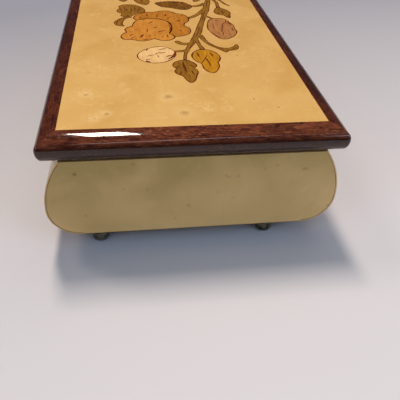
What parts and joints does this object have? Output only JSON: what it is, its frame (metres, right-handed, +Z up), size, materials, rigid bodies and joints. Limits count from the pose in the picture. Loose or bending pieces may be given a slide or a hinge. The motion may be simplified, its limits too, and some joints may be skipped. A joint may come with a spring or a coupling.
{
  "type": "music box",
  "caption": "Low lacquered keepsake box with swelling sides, an overhanging hinged lid with floral wood inlay, brass feet and a wind-up pinned-cylinder music movement.",
  "frame": {"origin": "middle of the footprint on the floor, under the four feet", "axes": "+X along the length of the box, towards the end that holds the movement; -Y is the front, +Y the hinge side; +Z up"},
  "size_m": [0.2322, 0.133, 0.0622],
  "materials": {
    "carcass_wood": "plain planed wood, glued",
    "case_veneer": "pale figured veneer under clear gloss lacquer",
    "border_wood": "dark red-brown wood under clear gloss lacquer",
    "field_veneer": "pale gold bird's-eye veneer under gloss lacquer",
    "stem_veneer": "olive-brown veneer, flush under gloss lacquer",
    "leaf_veneer": "olive-brown veneer, flush under gloss lacquer",
    "dark_leaf_veneer": "dark walnut veneer, flush",
    "orange_veneer": "orange dyed veneer, flush",
    "cream_veneer": "cream veneer, flush",
    "gold_veneer": "yellow dyed veneer, flush",
    "pink_veneer": "pink-brown dyed veneer, flush",
    "velvet": "dark red velvet on card",
    "clear_sheet": "clear acrylic sheet, clear through",
    "brass": "polished brass",
    "plated_cast": "satin plated casting",
    "steel": "bright steel",
    "spring_steel": "blued spring steel"
  },
  "bodies": {
    "case": {"bottom_board": "carcass_wood", "front_side": "carcass_wood", "back_side": "carcass_wood", "end_board_left": "carcass_wood", "end_board_right": "carcass_wood", "partition": "carcass_wood", "cover_ledge": "carcass_wood", "front_veneer": "case_veneer", "back_veneer": "case_veneer", "end_veneer_left": "case_veneer", "end_veneer_right": "case_veneer", "floor_lining": "velvet", "front_lining": "velvet", "back_lining": "velvet", "end_lining": "velvet", "partition_lining": "velvet", "clear_cover": "clear_sheet", "foot_front_left": "brass", "foot_front_right": "brass", "foot_back_left": "brass", "foot_back_right": "brass", "case_leaf_left": "brass", "case_leaf_right": "brass", "hinge_pins": "brass", "case_leaf_screws": "brass", "cover_screws": "brass", "cylinder_bracket": "brass", "governor_frame": "brass", "comb_block": "brass", "bedplate": "plated_cast", "comb": "steel", "comb_screws": "steel", "movement_screws": "steel"},
    "lid": {"lid_core": "carcass_wood", "border_front": "border_wood", "border_back": "border_wood", "border_left": "border_wood", "border_right": "border_wood", "figured_veneer": "field_veneer", "inlay_stems": "stem_veneer", "inlay_leaves": "leaf_veneer", "inlay_dark_leaf": "dark_leaf_veneer", "inlay_flower_back": "orange_veneer", "inlay_flower_front": "orange_veneer", "inlay_cream_bud": "cream_veneer", "inlay_gold_leaf": "gold_veneer", "inlay_pink_bud": "pink_veneer", "lid_lining": "velvet", "lid_leaf_left": "brass", "lid_leaf_right": "brass", "lid_leaf_screws": "brass"},
    "key": {"winding_arbor": "steel", "winding_key": "brass"},
    "barrel": {"spring_barrel": "brass", "mainspring": "spring_steel"},
    "cylinder": {"pinned_cylinder": "brass", "cylinder_arbor": "steel"},
    "governor": {"governor_wheel": "brass"},
    "air_brake": {"fly": "steel"},
    "stop": {"stop_lever": "steel"}
  },
  "joints": [
    {"name": "lid_hinge", "type": "hinge", "parent": "case", "child": "lid", "pos_m": [0, 0.06175, 0.0506], "axis": [-1, 0, 0], "range_deg": [0, 100]},
    {"name": "cylinder_spin", "type": "hinge", "parent": "case", "child": "cylinder", "pos_m": [0.0685, -0.013, 0.0284], "axis": [0, 1, 0], "continuous": true},
    {"name": "barrel_spin", "type": "hinge", "parent": "case", "child": "barrel", "pos_m": [0.0685, 0.02, 0.027], "axis": [0, 0, 1], "continuous": true},
    {"name": "governor_spin", "type": "hinge", "parent": "case", "child": "governor", "pos_m": [0.05893, -0.035, 0.0284], "axis": [0, 1, 0], "continuous": true},
    {"name": "fly_spin", "type": "hinge", "parent": "case", "child": "air_brake", "pos_m": [0.05108, -0.0356, 0.03], "axis": [0, 0, 1], "continuous": true},
    {"name": "key_turn", "type": "hinge", "parent": "case", "child": "key", "pos_m": [0.0685, 0.02, 0.005], "axis": [0, 0, 1], "continuous": true},
    {"name": "stop_tilt", "type": "hinge", "parent": "case", "child": "stop", "pos_m": [0.06008, -0.0413, 0.03841], "axis": [0, 1, 0], "range_deg": [0, 8.1]}
  ],
  "couplings": [
    {"joint": "barrel_spin", "follows": "cylinder_spin", "ratio": -0.4},
    {"joint": "governor_spin", "follows": "cylinder_spin", "ratio": -3.2},
    {"joint": "fly_spin", "follows": "cylinder_spin", "ratio": 19.2},
    {"joint": "stop_tilt", "follows": "lid_hinge", "ratio": 0.08}
  ]
}
